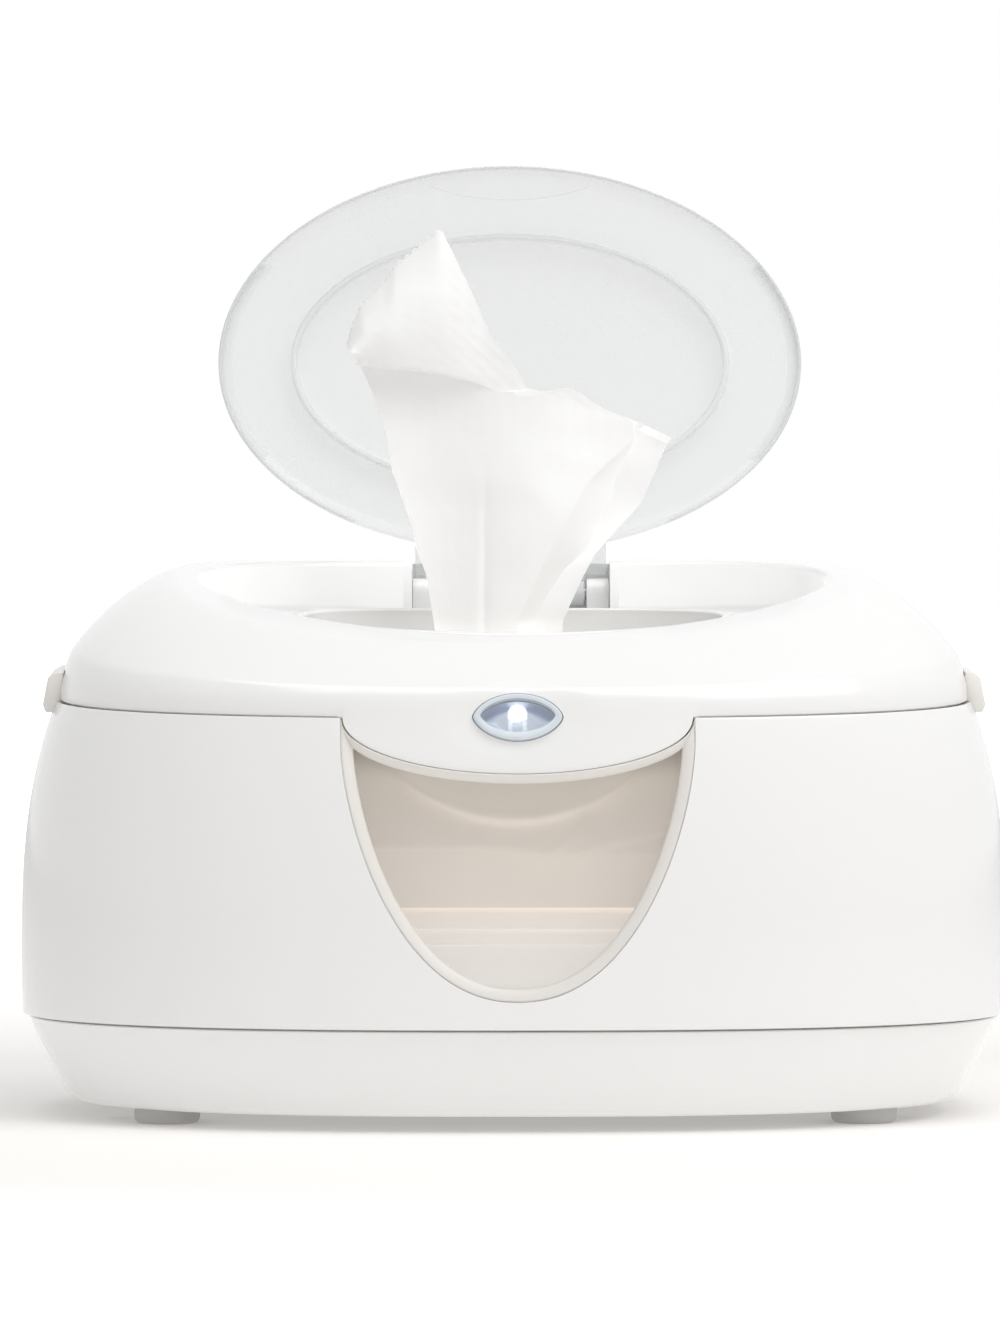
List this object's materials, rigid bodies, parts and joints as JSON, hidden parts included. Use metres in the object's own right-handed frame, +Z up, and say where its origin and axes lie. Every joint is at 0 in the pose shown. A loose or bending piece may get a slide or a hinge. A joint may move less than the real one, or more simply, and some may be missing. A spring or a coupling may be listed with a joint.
{
  "type": "baby wipe warmer",
  "caption": "White countertop wipe warmer: bulging tub housing with front window, hinged heated lid, light button and clear flip door over an oval mouth.",
  "frame": {"origin": "on the surface the warmer stands on, under the middle of the housing", "axes": "+X to the right seen from the front, +Y from the window towards the hinged back, +Z up"},
  "size_m": [0.259, 0.1819, 0.2534],
  "materials": {
    "white_shell": "glossy moulded white",
    "white_inner": "satin white",
    "clear_door": "milky clear moulded",
    "clear_pane": "clear glazing",
    "tub_plastic": "frosted",
    "wipe_cloth": "non-woven tissue",
    "foot_rubber": "grey rubber",
    "grey_plastic": "satin grey",
    "gasket_rubber": "soft silicone",
    "steel": "bright steel",
    "heater_aluminium": "rolled sheet",
    "heater_foil": "amber film",
    "board": "board green",
    "dark_plastic": "black",
    "led_white": "diffused dome",
    "button_clear": "clear bluish",
    "reflector_silver": "plated bluish silver",
    "lead_black": "wire insulation"
  },
  "bodies": {
    "base": {"base_tray": "white_shell", "body_shell": "white_shell", "inner_tub": "tub_plastic", "window_frame": "white_shell", "window_pane": "clear_pane", "tub_gasket": "gasket_rubber", "wipe_stack": "wipe_cloth", "feet": "foot_rubber", "base_screws": "steel", "lid_hinge_pins": "steel"},
    "lid": {"lid_shell": "white_shell", "lid_inner_cover": "white_inner", "heater_plate": "heater_aluminium", "heater_element": "heater_foil", "thermostat": "dark_plastic", "thermal_fuse": "steel", "circuit_board": "board", "led": "led_white", "reflector": "reflector_silver", "button_switch": "dark_plastic", "button_pads": "gasket_rubber", "power_socket": "dark_plastic", "socket_contact": "steel", "lid_leads": "lead_black", "cover_screws": "steel", "flip_hinge_pin": "steel", "release_springs": "steel", "pulled_wipe": "wipe_cloth"},
    "flip_door": {"flip_door": "clear_door"},
    "light_button": {"light_button": "button_clear"},
    "left_release_tab": {"left_release_tab": "grey_plastic"},
    "right_release_tab": {"right_release_tab": "grey_plastic"}
  },
  "joints": [
    {"name": "lid_hinge", "type": "hinge", "parent": "base", "child": "lid", "pos_m": [0, 0.08502, 0.11281], "axis": [-1, 0, 0], "range_deg": [0, 95]},
    {"name": "flip_hinge", "type": "hinge", "parent": "lid", "child": "flip_door", "pos_m": [0, 0.064, 0.1359], "axis": [1, 0, 0], "range_deg": [0, 107.24], "deforming": ["pulled_wipe"]},
    {"name": "button_press", "type": "slide", "parent": "lid", "child": "light_button", "axis": [0, 0.9713, -0.238], "range_m": [0, 0.001], "stiffness_N_per_m": 400, "deforming": ["button_pads"]},
    {"name": "left_release_press", "type": "slide", "parent": "lid", "child": "left_release_tab", "axis": [1, 0, 0], "range_m": [0, 0.0018], "stiffness_N_per_m": 500, "deforming": ["release_springs"]},
    {"name": "right_release_press", "type": "slide", "parent": "lid", "child": "right_release_tab", "axis": [-1, 0, 0], "range_m": [0, 0.0018], "stiffness_N_per_m": 500, "deforming": ["release_springs"]}
  ]
}
